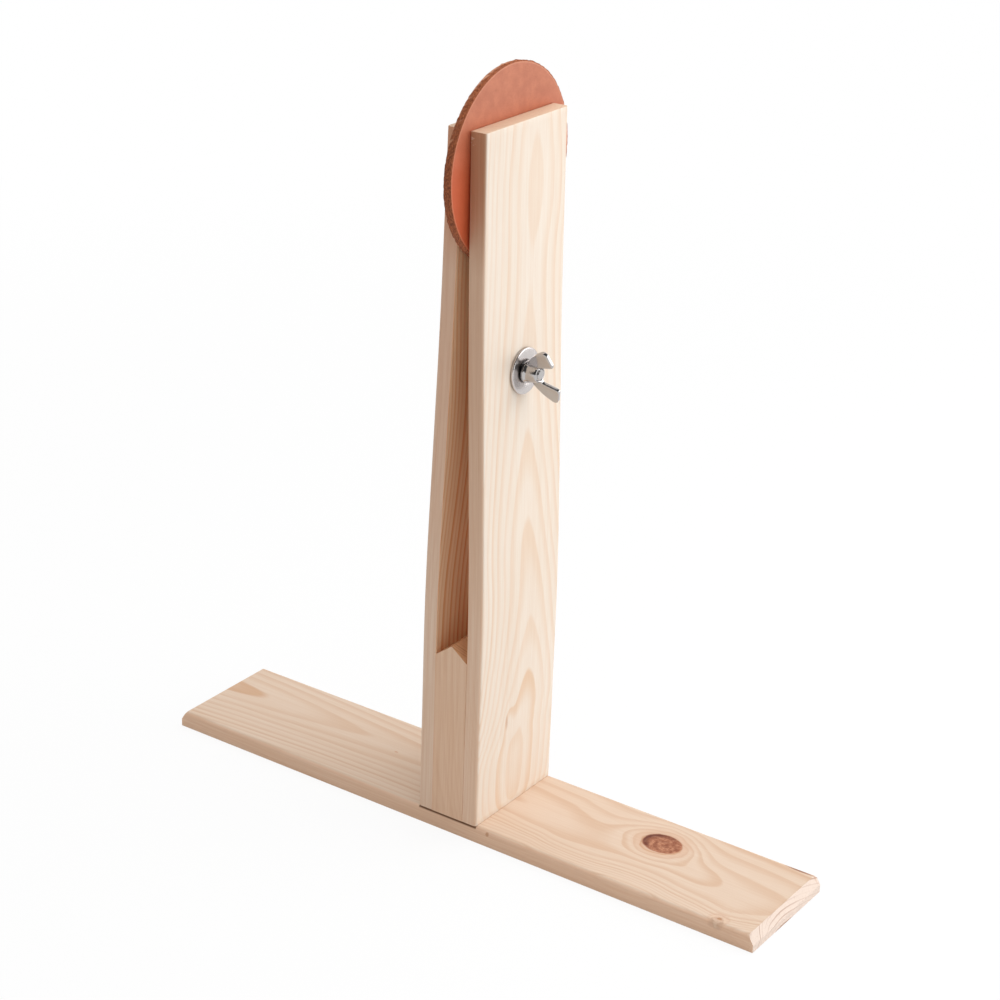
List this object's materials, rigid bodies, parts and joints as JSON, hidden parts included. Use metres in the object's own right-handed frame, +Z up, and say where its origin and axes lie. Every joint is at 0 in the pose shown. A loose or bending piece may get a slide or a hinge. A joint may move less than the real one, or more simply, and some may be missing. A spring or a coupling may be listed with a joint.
{
  "type": "leather stitching clamp",
  "caption": "Standing wooden clamp with two sprung jaw boards on a flat base, drawn together by a carriage bolt and wing nut to hold leather for hand stitching.",
  "frame": {"origin": "middle of the underside of the base board", "axes": "+Z up the post, +X along the base towards the side of the wing nut, +Y across the base along the width of the jaws"},
  "size_m": [0.48, 0.13, 0.527],
  "materials": {
    "pine_base": "planed and sanded pine with a knot",
    "pine_block": "planed pine",
    "pine_jaw": "planed and sanded pale pine",
    "bright_zinc": "bright zinc plate",
    "satin_zinc": "satin zinc plate",
    "saddle_leather": "smooth saddle tan with a rough-cut dark edge"
  },
  "bodies": {
    "stand": {"base_board": "pine_base", "spacer_block": "pine_block", "front_jaw_foot": "pine_jaw", "rear_jaw_foot": "pine_jaw", "base_screws": "satin_zinc"},
    "front_jaw": {"front_jaw": "pine_jaw"},
    "rear_jaw": {"rear_jaw": "pine_jaw", "carriage_bolt": "bright_zinc"},
    "washer": {"fender_washer": "satin_zinc"},
    "wing_nut": {"wing_nut": "bright_zinc"},
    "work": {"leather_disc": "saddle_leather"}
  },
  "joints": [
    {"name": "wing_nut_turn", "type": "hinge", "parent": "washer", "child": "wing_nut", "pos_m": [0.0209, 0, 0.328], "axis": [1, 0, 0], "range_deg": [0, 1800]},
    {"name": "washer_travel", "type": "slide", "parent": "rear_jaw", "child": "washer", "axis": [1, 0, 0], "range_m": [0, 0.00625]},
    {"name": "front_jaw_spring", "type": "hinge", "parent": "stand", "child": "front_jaw", "pos_m": [0.024, 0, 0.132], "axis": [0, 1, 0], "range_deg": [0, 0.8108]},
    {"name": "rear_jaw_spring", "type": "hinge", "parent": "stand", "child": "rear_jaw", "pos_m": [-0.024, 0, 0.132], "axis": [0, -1, 0], "range_deg": [0, 0.8108]},
    {"name": "work_lift", "type": "slide", "parent": "stand", "child": "work", "axis": [0, 0, 1], "range_m": [0, 0.14]}
  ],
  "couplings": [
    {"joint": "wing_nut_turn", "follows": "washer_travel", "rad_per_m": 5026.5},
    {"joint": "front_jaw_spring", "follows": "washer_travel", "rad_per_m": 2.2642},
    {"joint": "rear_jaw_spring", "follows": "washer_travel", "rad_per_m": 2.2642}
  ]
}
